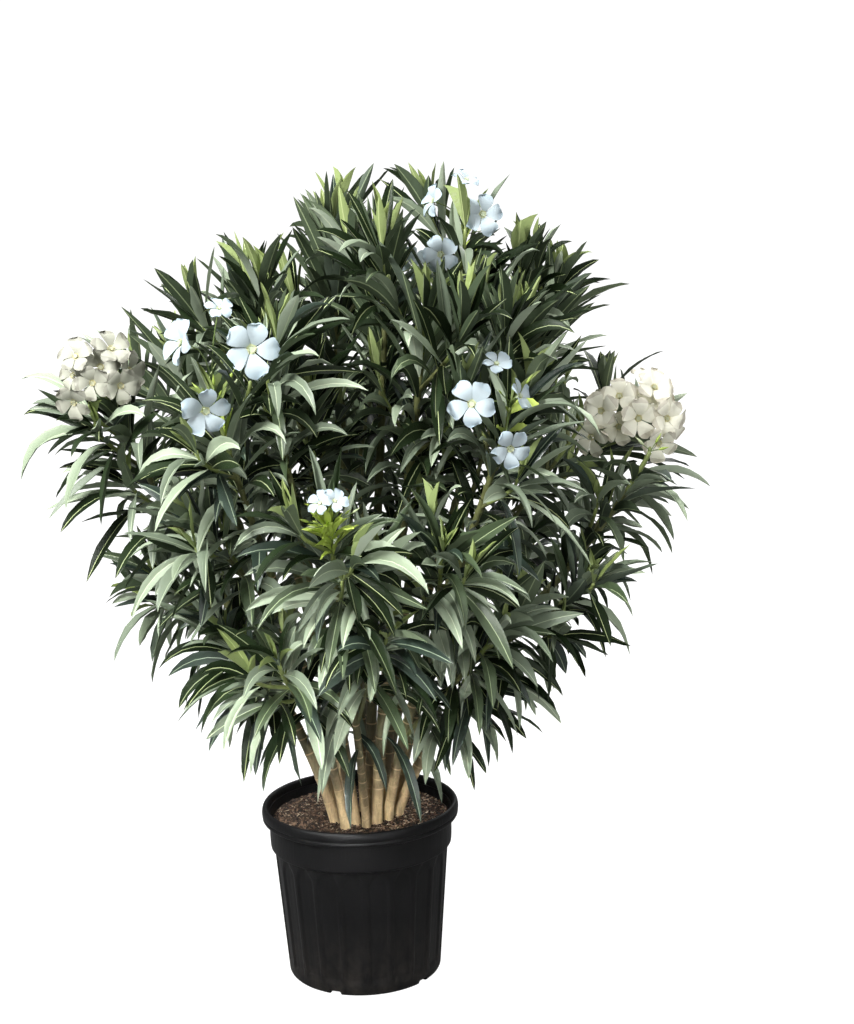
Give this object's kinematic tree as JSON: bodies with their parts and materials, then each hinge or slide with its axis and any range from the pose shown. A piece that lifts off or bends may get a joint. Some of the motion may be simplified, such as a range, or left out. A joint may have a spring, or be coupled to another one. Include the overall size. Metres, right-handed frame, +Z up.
{
  "type": "potted oleander",
  "caption": "Many-stemmed evergreen shrub with whorled lance leaves and white blossom, growing in a ribbed round nursery pot filled with compost.",
  "frame": {"origin": "centre of the pot's flat underside, on the surface that the pot stands on", "axes": "+Z up along the plant, -Y towards its front, where most of the blossom is, +X to the right of someone who faces the front"},
  "size_m": [1.322, 1.2355, 1.6403],
  "materials": {
    "black_plastic": "semi-matt black blow-moulded plastic, slightly scuffed",
    "compost": "loose dark compost with chips of bark",
    "cane_bark": "smooth tan bark with pale rings at the old leaf joints",
    "green_bark": "smooth olive young bark",
    "foliage": "leathery dark green leaves with a pale midrib, white and cream blossom"
  },
  "bodies": {
    "root": {"bough_back_top": "green_bark", "bough_inner_left": "green_bark", "bough_left_hang": "green_bark", "bough_right_cream": "green_bark", "bough_right_hang": "green_bark", "bough_right_low": "green_bark", "bough_right_mid": "green_bark", "bough_upper_right": "green_bark", "cane_back_left": "cane_bark", "cane_back_middle": "cane_bark", "cane_back_right": "cane_bark", "cane_far_left": "cane_bark", "cane_far_right": "cane_bark", "cane_front_centre": "cane_bark", "cane_left_back": "cane_bark", "cane_left_bloom": "cane_bark", "cane_left_upright": "cane_bark", "cane_mid_upper": "cane_bark", "cane_right_bloom": "cane_bark", "cane_right_crest": "cane_bark", "cane_top_bloom": "cane_bark", "cane_top_left": "cane_bark", "cane_top_mid": "cane_bark", "cane_upper_left": "cane_bark", "foliage_back_left": "foliage", "foliage_back_low": "foliage", "foliage_back_low_left": "foliage", "foliage_back_low_right": "foliage", "foliage_back_middle": "foliage", "foliage_back_right": "foliage", "foliage_back_top": "foliage", "foliage_far_left": "foliage", "foliage_far_right": "foliage", "foliage_front_centre": "foliage", "foliage_front_low": "foliage", "foliage_front_right": "foliage", "foliage_inner_left": "foliage", "foliage_inner_right": "foliage", "foliage_left_back": "foliage", "foliage_left_bloom": "foliage", "foliage_left_hang": "foliage", "foliage_left_low": "foliage", "foliage_left_low_out": "foliage", "foliage_left_mid": "foliage", "foliage_left_upright": "foliage", "foliage_mid_upper": "foliage", "foliage_right_bloom": "foliage", "foliage_right_cream": "foliage", "foliage_right_crest": "foliage", "foliage_right_hang": "foliage", "foliage_right_low": "foliage", "foliage_right_mid": "foliage", "foliage_right_skirt": "foliage", "foliage_top_bloom": "foliage", "foliage_top_left": "foliage", "foliage_top_mid": "foliage", "foliage_upper_left": "foliage", "foliage_upper_right": "foliage", "pot": "black_plastic", "soil": "compost"}
  },
  "joints": []
}
